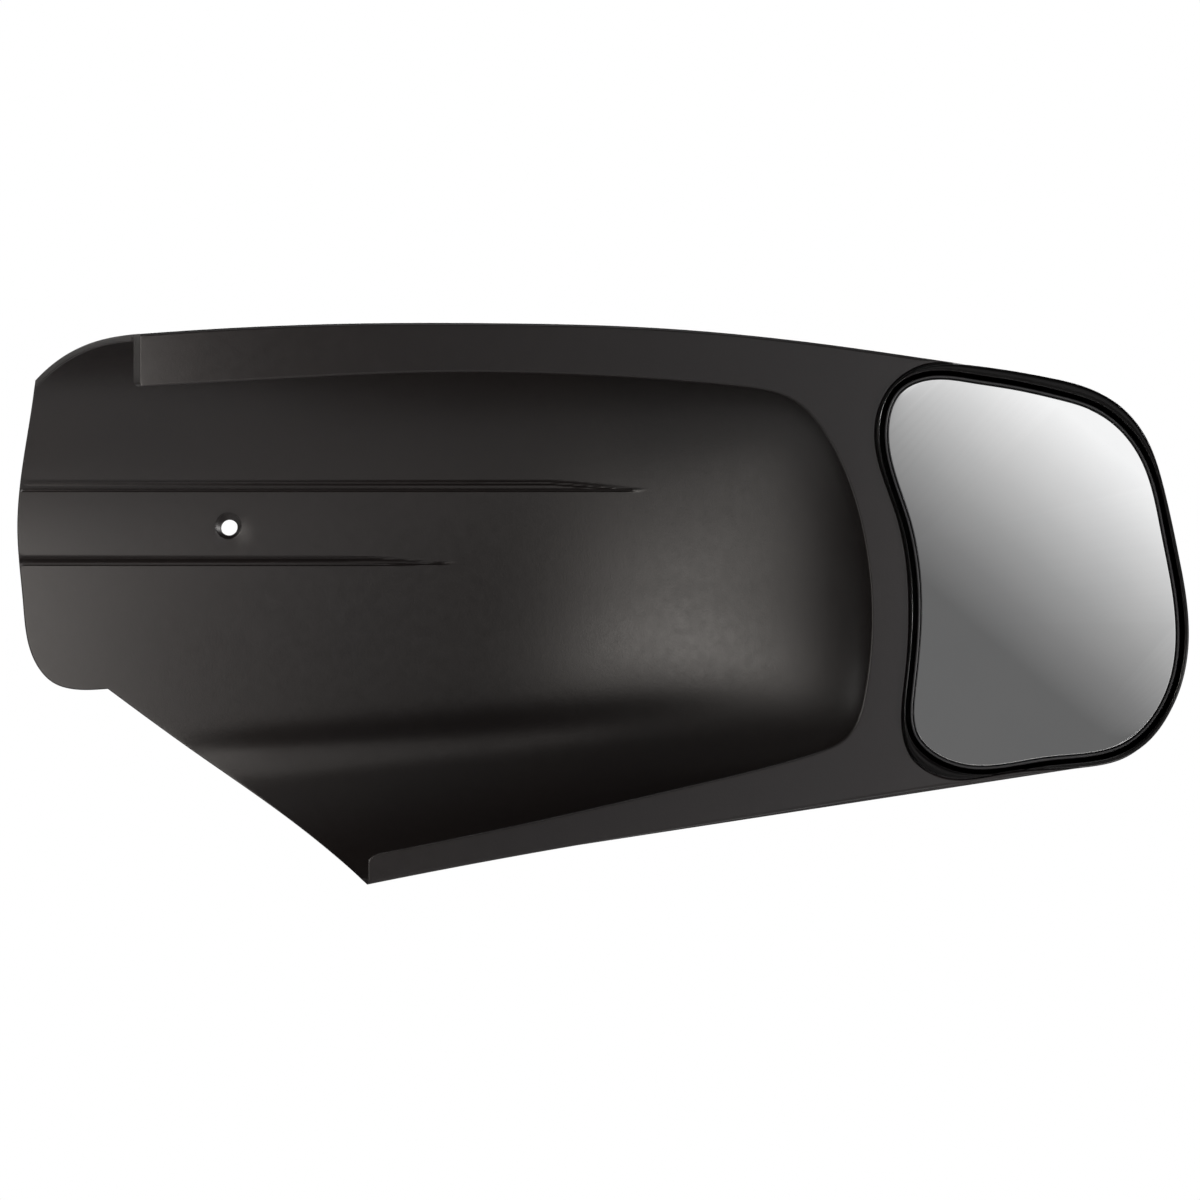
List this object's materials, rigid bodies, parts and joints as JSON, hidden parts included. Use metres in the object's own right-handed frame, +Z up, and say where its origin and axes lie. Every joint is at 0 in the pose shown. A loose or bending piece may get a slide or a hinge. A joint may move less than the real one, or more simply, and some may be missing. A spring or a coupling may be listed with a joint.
{
  "type": "towing mirror",
  "caption": "Slip-on towing mirror for the right-hand side: a moulded sleeve that fits over a pickup's door mirror, with an adjustable mirror in its outboard head.",
  "frame": {"origin": "middle of the sleeve's opening, in the inner (forward) face of the flat rear band, which rests on the rim of the pickup's own mirror", "axes": "+X outboard (away from the truck), +Y in the direction of travel, +Z up; seen from behind the truck the glass faces the viewer"},
  "size_m": [0.4303, 0.0933, 0.2057],
  "materials": {
    "shell": "fine moulded grain, satin black",
    "gloss_trim": "polished black",
    "mirror_glass": "second-surface silvered, flat",
    "carrier_plastic": "moulded black",
    "foam": "closed-cell foam",
    "acetal": "natural white, low friction",
    "zinc_steel": "bright zinc plated"
  },
  "bodies": {
    "housing": {"housing": "shell", "head_bezel": "gloss_trim", "top_sleeve_pad": "foam", "bottom_sleeve_pad": "foam", "pivot_base": "carrier_plastic", "base_screw_1": "zinc_steel", "base_screw_2": "zinc_steel", "base_screw_3": "zinc_steel", "base_screw_4": "zinc_steel", "pivot_bolt": "zinc_steel", "pivot_spring": "zinc_steel", "spring_washer": "zinc_steel", "pivot_nut": "zinc_steel"},
    "swivel": {"pivot_cup": "acetal"},
    "mirror": {"mirror_glass": "mirror_glass", "glass_pad": "foam", "glass_carrier": "carrier_plastic", "pivot_dome": "carrier_plastic", "dome_screw_1": "zinc_steel", "dome_screw_2": "zinc_steel", "dome_screw_3": "zinc_steel", "dome_screw_4": "zinc_steel"}
  },
  "joints": [
    {"name": "glass_pan", "type": "hinge", "parent": "housing", "child": "swivel", "pos_m": [0.217, 0.0015, 0.012], "axis": [0, 0, 1], "range_deg": [-7, 7]},
    {"name": "glass_tilt", "type": "hinge", "parent": "swivel", "child": "mirror", "pos_m": [0.217, 0.0015, 0.012], "axis": [1, 0, 0], "range_deg": [-7, 7]}
  ]
}
